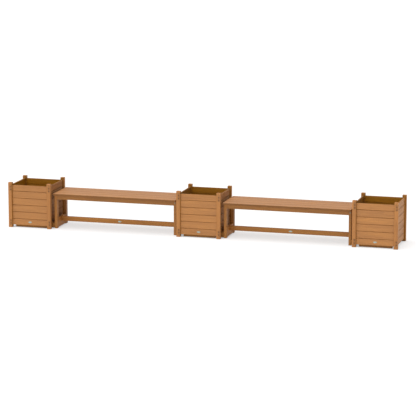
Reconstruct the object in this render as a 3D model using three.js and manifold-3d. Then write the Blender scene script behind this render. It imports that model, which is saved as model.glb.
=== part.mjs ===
// A row of street furniture in timber: three square planters in a line, walled with boards,
// and a backless bench standing in each of the two spaces between them.
// Millimetres, +Z up, +X along the row, -Y to the front.
// The origin is on the ground, under the middle of the row.

import * as THREE from 'three';
import { mergeVertices } from 'three/addons/utils/BufferGeometryUtils.js';
import Module from 'manifold-3d';

// Row: the width of a planter over its posts, both ways, and the clear length between two planters
const planterWidth = 520;
const benchSpan = 1528;

// Fits: the clearance of a joint, and how far a cut runs past a face
const fitGap = 0.3;
const cutOverrun = 5;

// Planter posts, with a housing in each inner face for the ends of a wall
const postHeight = 530;
const postSection = 45;
const postChamfer = 2;
const housingDepth = 6;

// Planter walls: boards joined edge to edge, with a V along each joint
const wallInset = 18;
const wallBottom = 30;
const boardThickness = 16;
const boardCover = 81.5;
const endBoardHeight = 72;
const coverBoardCount = 4;
const outerVee = 3.5;
const innerVee = 1;

// Planter floor: slats fixed across two bearers, into which they are let a little.
// The bearers stand on the ground, set back from the front and rear walls.
const bearerLength = 380;
const bearerDepth = 30;
const bearerHeight = 42;
const bearerSetBack = 22;
const slatCount = 6;
const slatGap = 8;
const slatThickness = 15;
const slatLetIn = 1;

// Bench seat: planks along the bench, which overhang the frame at the front and at the rear, the
// outer two rounded over at the edge of the seat
const seatHeight = 417;
const seatOverhang = 45.5;
const seatEndGap = 21;
const plankThickness = 20;
const plankCount = 4;
const plankGap = 4;
const plankChamfer = 1.5;
const noseRadius = 4;
const noseSteps = 4;

// Bench frame, its legs set a little back from the ends of the seat. A packing board on each
// end's low rail fills the space up to the wall of the planter beside it.
const frameDepth = 365;
const legWidth = 30;
const legDepth = 55;
const legSetBack = 3;
const legChamfer = 1.5;
const railThickness = 22;
const apronHeight = 52;
const endRailHeight = 106;
const endRailGroundGap = 8;
const packingHeight = 55;
const stretcherHeight = 55;
const battenWidth = 40;
const battenHeight = 20;

// Stub tenons of the bench frame
const tenonThickness = 10;
const tenonShoulder = 8;
const apronTenonLength = 10;
const endTenonLength = 15;
const stretcherTenonLength = 12;

// Worked out from the sizes above
const pitch = planterWidth + benchSpan;
const postMiddle = planterWidth / 2 - postSection / 2;
const wallHeight = 2 * endBoardHeight + coverBoardCount * boardCover;
const wallLength = planterWidth - 2 * (postSection - housingDepth + fitGap);
const wallInner = planterWidth / 2 - wallInset - boardThickness;
const seatLength = benchSpan - 2 * seatEndGap;
const seatDepth = frameDepth + 2 * seatOverhang;
const legHeight = seatHeight - plankThickness - fitGap;
const legMiddleX = seatLength / 2 - legSetBack - legWidth / 2;
const legMiddleY = frameDepth / 2 - legDepth / 2;
const legInnerX = legMiddleX - legWidth / 2;
const legInnerY = legMiddleY - legDepth / 2;
const apronMiddleY = frameDepth / 2 - railThickness / 2;
const endRailTop = endRailGroundGap + endRailHeight;
const endPieceInnerX = legMiddleX - railThickness / 2;
const apronZ = [legHeight - apronHeight, legHeight];
const endRailZ = [endRailGroundGap, endRailTop];
const stretcherZ = [endRailTop - stretcherHeight, endRailTop];

const wasm = await Module();
wasm.setup();

// Materials

function wood(color) {
  return new THREE.MeshStandardMaterial({ color, roughness: 0.55, metalness: 0 });
}

const finishes = {
  post: () => wood(0xb98452),
  wall: () => wood(0xbc8658),
  floor: () => wood(0x8a5f38),
  seat: () => wood(0xc99a74),
  frame: () => wood(0xa9764a),
};

function piece(name, geometry, finish) {
  const mesh = new THREE.Mesh(geometry, finishes[finish]());
  mesh.name = name;
  return mesh;
}

// Ranges are [low, high] pairs along one axis

function around(middle, width) {
  return [middle - width / 2, middle + width / 2];
}

function grown(range, gap) {
  return [range[0] - gap, range[1] + gap];
}

function shouldered(range) {
  return grown(range, -tenonShoulder);
}

function mirrored(range, sign) {
  return sign > 0 ? range : [-range[1], -range[0]];
}

// Solids

function block(x, y, z) {
  const geometry = new THREE.BoxGeometry(x[1] - x[0], y[1] - y[0], z[1] - z[0]);
  return geometry.translate((x[0] + x[1]) / 2, (y[0] + y[1]) / 2, (z[0] + z[1]) / 2);
}

function toSolid(geometry) {
  const closed = geometry.clone();
  closed.deleteAttribute('normal');
  closed.deleteAttribute('uv');
  const merged = mergeVertices(closed);
  return new wasm.Manifold(new wasm.Mesh({
    numProp: 3,
    vertProperties: new Float32Array(merged.attributes.position.array),
    triVerts: new Uint32Array(merged.index.array),
  }));
}

function toGeometry(body) {
  const mesh = body.getMesh();
  const geometry = new THREE.BufferGeometry();
  geometry.setAttribute('position', new THREE.BufferAttribute(mesh.vertProperties, 3));
  geometry.setIndex(new THREE.BufferAttribute(mesh.triVerts, 1));
  return geometry;
}

function cutFrom(geometry, cutters) {
  return toGeometry(cutters.reduce((body, cutter) => body.subtract(toSolid(cutter)), toSolid(geometry)));
}

function joined(geometry, others) {
  return toGeometry(others.reduce((body, other) => body.add(toSolid(other)), toSolid(geometry)));
}

// An upright bar standing on z = 0, its end edges chamfered
function uprightBar(width, depth, height, chamfer) {
  const outline = new THREE.Shape();
  outline.moveTo(-width / 2, -depth / 2);
  outline.lineTo(width / 2, -depth / 2);
  outline.lineTo(width / 2, depth / 2);
  outline.lineTo(-width / 2, depth / 2);
  const bar = new THREE.ExtrudeGeometry(outline, {
    depth: height - 2 * chamfer,
    bevelEnabled: true,
    bevelSegments: 1,
    bevelThickness: chamfer,
    bevelSize: chamfer,
    bevelOffset: -chamfer,
  });
  return bar.translate(0, 0, chamfer);
}

// A bar along X, centred on x = 0, from its section in Y (the shape's x) and Z (the shape's y)
function barAlongX(section, length, steps) {
  const extrusion = { depth: length, bevelEnabled: false, curveSegments: steps };
  const bar = new THREE.ExtrudeGeometry(section, extrusion);
  const toX = new THREE.Matrix4().makeBasis(
    new THREE.Vector3(0, 1, 0),
    new THREE.Vector3(0, 0, 1),
    new THREE.Vector3(1, 0, 0),
  );
  return bar.translate(0, 0, -length / 2).applyMatrix4(toX);
}

// Planter

// The heights of the joints between a wall's boards, above the wall's lower edge
function boardJoints() {
  return Array.from({ length: coverBoardCount + 1 }, (_, index) => endBoardHeight + index * boardCover);
}

// A wall seen from its front: the outer face on y = 0, facing -Y, and the lower edge at its height
function wallBoards() {
  const section = new THREE.Shape();
  section.moveTo(0, 0);
  for (const joint of boardJoints()) {
    section.lineTo(0, joint - outerVee);
    section.lineTo(outerVee, joint);
    section.lineTo(0, joint + outerVee);
  }
  section.lineTo(0, wallHeight);
  section.lineTo(boardThickness, wallHeight);
  for (const joint of boardJoints().reverse()) {
    section.lineTo(boardThickness, joint + innerVee);
    section.lineTo(boardThickness - innerVee, joint);
    section.lineTo(boardThickness, joint - innerVee);
  }
  section.lineTo(boardThickness, 0);
  return barAlongX(section, wallLength, 1).translate(0, 0, wallBottom);
}

// A corner post on its own axis, its inner faces towards the signs towardX and towardY
function cornerPost(towardX, towardY) {
  const half = postSection / 2;
  const sunk = [half - housingDepth, half + cutOverrun];
  const across = grown([wallInset - half, wallInset - half + boardThickness], fitGap);
  const heights = grown([wallBottom, wallBottom + wallHeight], fitGap);
  return cutFrom(uprightBar(postSection, postSection, postHeight, postChamfer), [
    block(mirrored(sunk, towardX), mirrored(across, towardY), heights),
    block(mirrored(across, towardX), mirrored(sunk, towardY), heights),
  ]);
}

function floorGrid() {
  const edge = wallInner - fitGap;
  const room = planterWidth - 2 * (postSection + fitGap);
  const slatWidth = (room - (slatCount - 1) * slatGap) / slatCount;
  const bearerY = [edge - bearerSetBack - bearerDepth, edge - bearerSetBack];
  const bearers = [-1, 1].map((side) => block(
    around(0, bearerLength),
    mirrored(bearerY, side),
    [0, bearerHeight + slatLetIn],
  ));
  const slats = Array.from({ length: slatCount }, (_, index) => {
    const start = index * (slatWidth + slatGap) - room / 2;
    return block([start, start + slatWidth], [-edge, edge], [bearerHeight, bearerHeight + slatThickness]);
  });
  return joined(bearers[0], [bearers[1], ...slats]);
}

function planter(name, place) {
  const group = new THREE.Group();
  for (const [depth, y] of [['front', -1], ['rear', 1]]) {
    for (const [end, x] of [['left', -1], ['right', 1]]) {
      const post = piece(`${name}_post_${depth}_${end}`, cornerPost(-x, -y), 'post');
      post.position.set(x * postMiddle, y * postMiddle, 0);
      group.add(post);
    }
  }
  ['front', 'right', 'rear', 'left'].forEach((side, quarter) => {
    const boards = wallBoards().translate(0, wallInset - planterWidth / 2, 0);
    const wall = piece(`${name}_${side}_boards`, boards, 'wall');
    wall.rotation.z = quarter * Math.PI / 2;
    group.add(wall);
  });
  group.add(piece(`${name}_floor`, floorGrid(), 'floor'));
  group.position.x = place * pitch;
  return group;
}

// Bench

// One seat plank, noseSide telling which side of it, -1 or 1, is the edge of the seat
function plankSection(width, noseSide) {
  const section = new THREE.Shape();
  const low = plankThickness - noseRadius;
  section.moveTo(plankChamfer, 0);
  section.lineTo(0, plankChamfer);
  if (noseSide < 0) {
    section.lineTo(0, low);
    section.absarc(noseRadius, low, noseRadius, Math.PI, Math.PI / 2, true);
  } else {
    section.lineTo(0, plankThickness - plankChamfer);
    section.lineTo(plankChamfer, plankThickness);
  }
  if (noseSide > 0) {
    section.lineTo(width - noseRadius, plankThickness);
    section.absarc(width - noseRadius, low, noseRadius, Math.PI / 2, 0, true);
  } else {
    section.lineTo(width - plankChamfer, plankThickness);
    section.lineTo(width, plankThickness - plankChamfer);
  }
  section.lineTo(width, plankChamfer);
  section.lineTo(width - plankChamfer, 0);
  return section;
}

function seatPlank(index) {
  const width = (seatDepth - (plankCount - 1) * plankGap) / plankCount;
  const noseSide = (index === plankCount - 1) - (index === 0);
  const plank = barAlongX(plankSection(width, noseSide), seatLength, noseSteps);
  return plank.translate(0, index * (width + plankGap) - seatDepth / 2, seatHeight - plankThickness);
}

// A leg on its own axis, its inner faces towards the signs towardX and towardY
function leg(towardX, towardY) {
  const apronTenonX = [legWidth / 2 - apronTenonLength - fitGap, legWidth / 2 + cutOverrun];
  const apronTenonY = around((railThickness - legDepth) / 2, tenonThickness);
  const endTenonY = [legDepth / 2 - endTenonLength - fitGap, legDepth / 2 + cutOverrun];
  const endTenonX = grown(around(0, tenonThickness), fitGap);
  const apronTenonZ = grown(shouldered(apronZ), fitGap);
  return cutFrom(uprightBar(legWidth, legDepth, legHeight, legChamfer), [
    block(mirrored(apronTenonX, towardX), mirrored(grown(apronTenonY, fitGap), towardY), apronTenonZ),
    block(endTenonX, mirrored(endTenonY, towardY), apronTenonZ),
    block(endTenonX, mirrored(endTenonY, towardY), grown(shouldered(endRailZ), fitGap)),
  ]);
}

// A rail with a stub tenon at each end, along Y in the middle of the bench's depth
function railAcross(z) {
  const body = block(around(0, railThickness), around(0, 2 * (legInnerY - fitGap)), z);
  const tenon = block(around(0, tenonThickness), around(0, 2 * (legInnerY + endTenonLength)), shouldered(z));
  return joined(body, [tenon]);
}

// A rail with a stub tenon at each end, along X in the middle of the bench's length
function railAlong(reach, tenonLength, z) {
  const body = block(around(0, 2 * (reach - fitGap)), around(0, railThickness), z);
  const tenon = block(around(0, 2 * (reach + tenonLength)), around(0, tenonThickness), shouldered(z));
  return joined(body, [tenon]);
}

// The low rail between the legs of one end, with the mortise that takes the stretcher, and the
// packing board fixed to its outer face, which lies between the legs and the planter's wall
function endRail(towardX) {
  const mortiseX = [railThickness / 2 - stretcherTenonLength - fitGap, railThickness / 2 + cutOverrun];
  const mortiseY = grown(around(0, tenonThickness), fitGap);
  const mortiseZ = grown(shouldered(stretcherZ), fitGap);
  const packingX = [legWidth / 2 + fitGap, benchSpan / 2 + wallInset - fitGap - legMiddleX];
  const packingZ = [endRailGroundGap, endRailGroundGap + packingHeight];
  const packing = block(mirrored(packingX, -towardX), around(0, frameDepth), packingZ);
  const backing = block(mirrored([0, packingX[0]], -towardX), around(0, 2 * (legInnerY - fitGap)), packingZ);
  const rail = joined(railAcross(endRailZ), [backing, packing]);
  return cutFrom(rail, [block(mirrored(mortiseX, towardX), mortiseY, mortiseZ)]);
}

function seatBatten() {
  const y = around(0, 2 * (apronMiddleY - railThickness / 2 - fitGap));
  return block(around(0, battenWidth), y, [legHeight - battenHeight, legHeight]);
}

function bench(name, place) {
  const group = new THREE.Group();
  const ends = [['left', -1], ['right', 1]];
  for (const [depth, y] of [['front', -1], ['rear', 1]]) {
    for (const [end, x] of ends) {
      const oneLeg = piece(`${name}_leg_${depth}_${end}`, leg(-x, -y), 'frame');
      oneLeg.position.set(x * legMiddleX, y * legMiddleY, 0);
      group.add(oneLeg);
    }
    const apron = piece(`${name}_${depth}_apron`, railAlong(legInnerX, apronTenonLength, apronZ), 'frame');
    apron.position.y = y * apronMiddleY;
    group.add(apron);
  }
  for (const [end, x] of ends) {
    const endApron = piece(`${name}_end_apron_${end}`, railAcross(apronZ), 'frame');
    const lowRail = piece(`${name}_end_rail_${end}`, endRail(-x), 'frame');
    endApron.position.x = x * legMiddleX;
    lowRail.position.x = x * legMiddleX;
    group.add(endApron, lowRail);
  }
  const stretcher = railAlong(endPieceInnerX, stretcherTenonLength, stretcherZ);
  group.add(piece(`${name}_stretcher`, stretcher, 'frame'));
  group.add(piece(`${name}_seat_batten`, seatBatten(), 'frame'));
  for (let index = 0; index < plankCount; index += 1) {
    group.add(piece(`${name}_seat_plank_${index + 1}`, seatPlank(index), 'seat'));
  }
  group.position.x = place * pitch;
  return group;
}

const row = new THREE.Group();
row.add(planter('planter_left', -1));
row.add(planter('planter_middle', 0));
row.add(planter('planter_right', 1));
row.add(bench('bench_left', -1 / 2));
row.add(bench('bench_right', 1 / 2));

export default row;
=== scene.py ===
"""Looks of a row of timber street furniture: three square planters and the two benches between them.

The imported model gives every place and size. Each of its nodes is replaced by planed timber with eased
edges, board by board, whose grain runs along the piece. The plugged screw holes of the posts, the screws
of the planter floors, the bolts and the blank oval plates are added.
Everything is in metres, +Z up, +X along the row, -Y to the front.
"""

import logging
import math
import random
from abc import ABC, abstractmethod
from collections.abc import Iterator, Sequence
from dataclasses import dataclass, replace
from enum import Enum, IntEnum

import bmesh
import bpy
from mathutils import Matrix, Vector


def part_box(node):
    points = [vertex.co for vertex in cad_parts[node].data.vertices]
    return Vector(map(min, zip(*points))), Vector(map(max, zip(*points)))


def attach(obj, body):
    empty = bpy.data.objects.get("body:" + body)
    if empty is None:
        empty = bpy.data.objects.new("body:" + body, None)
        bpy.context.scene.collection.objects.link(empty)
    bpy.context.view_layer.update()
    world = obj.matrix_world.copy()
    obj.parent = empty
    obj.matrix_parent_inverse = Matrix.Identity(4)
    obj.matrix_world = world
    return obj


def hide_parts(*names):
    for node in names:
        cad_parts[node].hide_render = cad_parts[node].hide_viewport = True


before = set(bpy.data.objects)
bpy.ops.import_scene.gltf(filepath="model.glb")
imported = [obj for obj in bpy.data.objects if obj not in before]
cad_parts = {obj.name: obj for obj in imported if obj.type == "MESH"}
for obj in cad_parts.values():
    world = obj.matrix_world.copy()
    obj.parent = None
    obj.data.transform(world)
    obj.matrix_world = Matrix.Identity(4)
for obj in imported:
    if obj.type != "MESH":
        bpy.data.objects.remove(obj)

LOG = logging.getLogger("timber_row")
MILLIMETRE = 0.001
ALONG_ROW = Vector((1.0, 0.0, 0.0))
TO_REAR = Vector((0.0, 1.0, 0.0))
UPWARD = Vector((0.0, 0.0, 1.0))

Range = tuple[float, float]
Colour = tuple[float, float, float]
Ring = tuple[float, float, float]
Feed = float | tuple[float, ...] | bpy.types.NodeSocket
Feeds = dict[str | int, Feed]

WHOLE: Range = (0.0, 1.0)
NOISE_MIDDLE = (0.5, 0.5, 0.5)
WHITE = (1.0, 1.0, 1.0, 1.0)


class Slot(Enum):
    """The record's material slots."""

    POST = "post_wood"
    WALL = "wall_wood"
    FLOOR = "floor_wood"
    SEAT = "seat_wood"
    FRAME = "frame_wood"
    FASTENER = "fastener_steel"
    PLATE = "plate_metal"


class Side(Enum):
    """The sides of a planter or a bench, each with the way that it faces."""

    FRONT = (0.0, -1.0, 0.0)
    RIGHT = (1.0, 0.0, 0.0)
    REAR = (0.0, 1.0, 0.0)
    LEFT = (-1.0, 0.0, 0.0)

    @property
    def outward(self) -> Vector:
        """The unit vector that points away from the piece."""
        return Vector(self.value)

    @property
    def label(self) -> str:
        """What the side is called in the names of nodes."""
        return self.name.lower()


class Axis(IntEnum):
    """The axes of the row."""

    X = 0
    Y = 1
    Z = 2


class Way(IntEnum):
    """The axes of a board."""

    ALONG = 0
    ACROSS = 1
    DEPTH = 2


class Mark(Enum):
    """What each point of a board carries, for the wood finish to read."""

    PLACE = "board_place"
    HALF = "board_half"
    GRAIN = "board_grain"
    TONE = "board_tone"
    PLUG_LINE = "board_plug_line"


def direction(azimuth: float, elevation: float) -> Vector:
    """Gives the way from the row to something round it.

    Args:
        azimuth: Degrees to the right of the front.
        elevation: Degrees above the ground.

    Returns:
        The unit vector.
    """
    turn = math.radians(azimuth)
    rise = math.radians(elevation)
    return Vector((math.sin(turn) * math.cos(rise), -math.cos(turn) * math.cos(rise), math.sin(rise)))


def in_scene(name: str, data: bpy.types.ID) -> bpy.types.Object:
    """Makes an object and links it to the scene.

    Args:
        name: The object's name.
        data: Its mesh, camera or lamp.

    Returns:
        The object.
    """
    thing = bpy.data.objects.new(name, data)
    bpy.context.scene.collection.objects.link(thing)
    return thing


def mesh_in_scene(name: str, mesh: bmesh.types.BMesh) -> bpy.types.Object:
    """Makes an object of a mesh that is complete, and frees the mesh.

    Args:
        name: The object's name.
        mesh: The mesh.

    Returns:
        The object, linked to the scene.
    """
    data = bpy.data.meshes.new(name)
    mesh.to_mesh(data)
    mesh.free()
    return in_scene(name, data)


@dataclass(frozen=True)
class Box:
    """An upright box between two corners."""

    low: Vector
    high: Vector

    @classmethod
    def of(cls, node: str) -> "Box":
        """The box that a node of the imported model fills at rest."""
        low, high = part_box(node)
        return cls(Vector(low), Vector(high))

    @property
    def centre(self) -> Vector:
        """The middle of the box."""
        return (self.low + self.high) / 2

    @property
    def size(self) -> Vector:
        """The box's extent along X, Y and Z."""
        return self.high - self.low

    def cut(self, axis: Axis, one: float, other: float) -> "Box":
        """Gives the same box between two other places along one axis.

        Args:
            axis: The axis of the row.
            one: The place of one end.
            other: The place of the other end.

        Returns:
            The new box.
        """
        first = self.low.copy()
        last = self.high.copy()
        first[axis] = min(one, other)
        last[axis] = max(one, other)
        return Box(first, last)


@dataclass(frozen=True)
class Corner:
    """A corner of a board's section, from the middle of the section, and its rounding."""

    across: float
    depth: float
    radius: float


@dataclass(frozen=True)
class Outline:
    """A closed section with rounded corners, listed with its inside to the left."""

    corners: tuple[Corner, ...]
    steps: int = 3

    @classmethod
    def bar(cls, board: "Board", radii: Sequence[float], steps: int = 3) -> "Outline":
        """Makes the rectangular section of a board.

        Args:
            board: The board.
            radii: The rounding of the four corners, from low across and low depth, round by high across.
            steps: How many steps round off a corner.

        Returns:
            The section, centred on its middle.
        """
        signs = ((-1, -1), (1, -1), (1, 1), (-1, 1))
        corners = [
            Corner(x * board.half.y, y * board.half.z, radius)
            for (x, y), radius in zip(signs, radii)
        ]
        return cls(tuple(corners), steps)

    def points(self, inset: float) -> list[Vector]:
        """Lists the points of the section, with the arcs of its corners.

        Args:
            inset: How far the section is drawn in from its full size.

        Returns:
            The points as (across, depth), equally many at every inset.
        """
        count = len(self.corners)
        made = []
        for index, corner in enumerate(self.corners):
            before = self.corners[index - 1]
            after = self.corners[(index + 1) % count]
            here = Vector((corner.across, corner.depth))
            came = (here - Vector((before.across, before.depth))).normalized()
            goes = (Vector((after.across, after.depth)) - here).normalized()
            made.extend(self._arc(here, came, goes, corner.radius, inset))
        return made

    def _arc(self, here: Vector, came: Vector, goes: Vector, radius: float, inset: float) -> list[Vector]:
        """Lists the points of one rounded corner.

        Args:
            here: The corner itself.
            came: The direction of the edge before it.
            goes: The direction of the edge after it.
            radius: The rounding at full size.
            inset: How far the section is drawn in.

        Returns:
            The points of the arc, both its ends included.
        """
        inward = Vector((-came.y, came.x))
        next_inward = Vector((-goes.y, goes.x))
        moved = here + (inward + next_inward) * inset / (1 + inward.dot(next_inward))
        turn = math.atan2(came.x * goes.y - came.y * goes.x, came.dot(goes))
        bend = math.copysign(1.0, turn)
        rounding = radius - bend * inset
        tangent = rounding * math.tan(abs(turn) / 2)
        middle = moved - came * tangent + inward * bend * rounding
        spoke = moved - came * tangent - middle
        return [
            middle + Matrix.Rotation(turn * step / self.steps, 2) @ spoke
            for step in range(self.steps + 1)
        ]

    def arc_edges(self) -> list[bool]:
        """Tells for each edge of the section whether it belongs to an arc."""
        return ([True] * self.steps + [False]) * len(self.corners)


@dataclass(frozen=True)
class Grain:
    """How one board was sawn: where it lies in the log and how dark it is."""

    shift: Vector
    pith: Vector
    slope: Vector
    tone: float

    LOG_REACH = 9.0
    PITH_REACH = (0.05, 0.16)
    SLOPE_SPREAD = 0.010
    TONE_MIDDLE = 0.5
    TONE_SPREAD = 0.2

    @classmethod
    def drawn(cls, name: str, paler: float) -> "Grain":
        """Draws the grain of one board, always the same for the same name.

        Args:
            name: What the grain is drawn from.
            paler: How much paler the board is than its drawn tone, or darker below zero.

        Returns:
            The grain.
        """
        pick = random.Random(name)
        turn = pick.uniform(0.0, 2 * math.pi)
        reach = pick.uniform(*cls.PITH_REACH)
        return cls(
            shift=Vector((pick.uniform(-cls.LOG_REACH, cls.LOG_REACH), 0.0, 0.0)),
            pith=Vector((0.0, reach * math.cos(turn), reach * math.sin(turn))),
            slope=Vector((0.0, pick.gauss(0.0, cls.SLOPE_SPREAD), pick.gauss(0.0, cls.SLOPE_SPREAD))),
            tone=min(max(pick.gauss(cls.TONE_MIDDLE, cls.TONE_SPREAD), 0.0), 1.0) + paler,
        )

    def at(self, local: Vector) -> Vector:
        """The place in the log of a place in the board."""
        return local + self.shift + self.pith + self.slope * local.x


@dataclass(frozen=True)
class Board:
    """One length of timber: its middle, its half sizes and how it lies.

    A place in it is (along, across, depth) from its middle, and along is across crossed with depth.
    The line of its plugged screw holes, where it has any, runs along it at a place across it.
    """

    centre: Vector
    half: Vector
    across: Vector
    depth: Vector
    grain: Grain
    plug_line: float = 0.0

    @classmethod
    def filling(cls, box: Box, across: Vector, depth: Vector, name: str, paler: float = 0.0) -> "Board":
        """Makes the board that fills a box.

        Args:
            box: The space of the board.
            across: The way of its width, along an axis.
            depth: The way of its thickness, along an axis.
            name: What its grain is drawn from.
            paler: How much paler it is than its drawn tone.

        Returns:
            The board.
        """
        along = across.cross(depth)
        half = [abs(box.size.dot(way)) / 2 for way in (along, across, depth)]
        return cls(box.centre, Vector(half), across, depth, Grain.drawn(name, paler))

    @property
    def turned(self) -> Matrix:
        """The rotation from the board's own axes to the row's."""
        return Matrix((self.across.cross(self.depth), self.across, self.depth)).transposed()

    def world(self, local: Vector) -> Vector:
        """The place in the row of a place in the board."""
        return self.centre + self.turned @ local

    def local(self, place: Vector) -> Vector:
        """The place in the board of a place in the row."""
        return self.turned.transposed() @ (place - self.centre)


class TimberPiece:
    """Gathers boards in one mesh and writes down at each point where it lies in its board.

    The section at the very end of a board is drawn in by END_SHARE of the rounding there.
    """

    END_SHARE = 0.85

    def __init__(self) -> None:
        """Starts an empty mesh."""
        self.mesh = bmesh.new()
        self.boards: list[Board] = []
        self.owners: list[int] = []

    def add(self, board: Board, outline: Outline, end_ease: float) -> None:
        """Adds one board.

        Args:
            board: Where the board lies.
            outline: Its section.
            end_ease: The rounding of the edges round its two ends.
        """
        rings = [
            [self.mesh.verts.new(board.world(Vector((along, *spot)))) for spot in outline.points(inset)]
            for along, inset in self._stations(board.half.x, end_ease, outline.steps)
        ]
        arcs = outline.arc_edges()
        middle = len(rings) // 2 - 1
        for place, (ring, following) in enumerate(zip(rings, rings[1:])):
            for edge, on_arc in enumerate(arcs):
                after = (edge + 1) % len(arcs)
                face = self.mesh.faces.new((ring[edge], ring[after], following[after], following[edge]))
                face.smooth = on_arc or place != middle
        self.mesh.faces.new(rings[0][::-1])
        self.mesh.faces.new(rings[-1])
        self.owners.extend([len(self.boards)] * (len(rings) * len(arcs)))
        self.boards.append(board)

    def add_bar(self, board: Board, ease: float) -> None:
        """Adds a board of rectangular section, with all its edges rounded alike."""
        self.add(board, Outline.bar(board, [ease] * 4), ease)

    def _stations(self, half: float, ease: float, steps: int) -> Iterator[Range]:
        """Gives the rings of a board as pairs of a place along it and an inset.

        Args:
            half: Half the board's length.
            ease: The rounding of the end edges, or zero for square ends.
            steps: How many steps round off an end.

        Yields:
            The pairs, from the low end to the high one.
        """
        if ease == 0.0:
            yield from ((-half, 0.0), (half, 0.0))
            return
        turns = [step / steps * math.pi / 2 for step in range(steps + 1)]
        reach = [
            (half - ease * (1 - math.cos(turn)), ease * self.END_SHARE * (1 - math.sin(turn)))
            for turn in turns
        ]
        yield from ((-along, inset) for along, inset in reach)
        yield from reversed(reach)

    def made(self, name: str) -> bpy.types.Object:
        """Turns the gathered boards into an object."""
        return mesh_in_scene(name, self.mesh)

    def mark(self, piece: bpy.types.Object) -> None:
        """Writes each point's place, grain and tone into the mesh, for the wood finish to read.

        Args:
            piece: The object of these boards. Only where it is a single board may its points have changed.
        """
        data = piece.data
        owners = self.owners if len(self.boards) > 1 else [0] * len(data.vertices)
        boards = [self.boards[owner] for owner in owners]
        places = [board.local(point.co) for board, point in zip(boards, data.vertices)]
        vectors = {
            Mark.PLACE: places,
            Mark.HALF: [board.half for board in boards],
            Mark.GRAIN: [board.grain.at(place) for board, place in zip(boards, places)],
        }
        for mark, values in vectors.items():
            layer = data.attributes.new(mark.value, "FLOAT_VECTOR", "POINT")
            layer.data.foreach_set("vector", [number for value in values for number in value])
        numbers = {
            Mark.TONE: [board.grain.tone for board in boards],
            Mark.PLUG_LINE: [board.plug_line for board in boards],
        }
        for mark, values in numbers.items():
            layer = data.attributes.new(mark.value, "FLOAT", "POINT")
            layer.data.foreach_set("value", values)


class TurnedPiece:
    """Gathers small round pieces in one mesh, each made of rings about its own axis."""

    LOBES = 6
    SHARP_ANGLE = 35.0

    def __init__(self) -> None:
        """Starts an empty mesh."""
        self.mesh = bmesh.new()

    def add(self, centre: Vector, outward: Vector, rings: Sequence[Ring],
            shares: Range = (1.0, 1.0), sides: int = 24) -> None:
        """Adds one turned piece.

        Args:
            centre: The middle of its foot.
            outward: The way that it faces.
            rings: From the foot to the middle of the face, each ring's radius, height and depth of lobes.
            shares: What the radius is multiplied by, sideways and upwards, for an oval.
            sides: The number of points in a ring.
        """
        upwards = TO_REAR if outward == UPWARD else UPWARD
        sideways = upwards.cross(outward)
        loops = []
        for radius, height, lobe in rings:
            loop = []
            for side in range(sides):
                turn = 2 * math.pi * side / sides
                reach = radius + lobe * math.cos(self.LOBES * turn)
                flat = sideways * shares[0] * math.cos(turn) + upwards * shares[1] * math.sin(turn)
                loop.append(self.mesh.verts.new(centre + flat * reach + outward * height))
            loops.append(loop)
        for low, high in zip(loops, loops[1:]):
            for side in range(sides):
                after = (side + 1) % sides
                self.mesh.faces.new((low[side], low[after], high[after], high[side])).smooth = True
        self.mesh.faces.new(loops[0][::-1])
        self.mesh.faces.new(loops[-1])

    def made(self, name: str) -> bpy.types.Object:
        """Turns the gathered pieces into an object, with its steep edges sharp.

        Args:
            name: The object's name.

        Returns:
            The object, linked to the scene.
        """
        piece = mesh_in_scene(name, self.mesh)
        piece.data.set_sharp_from_angle(angle=math.radians(self.SHARP_ANGLE))
        return piece


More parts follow.
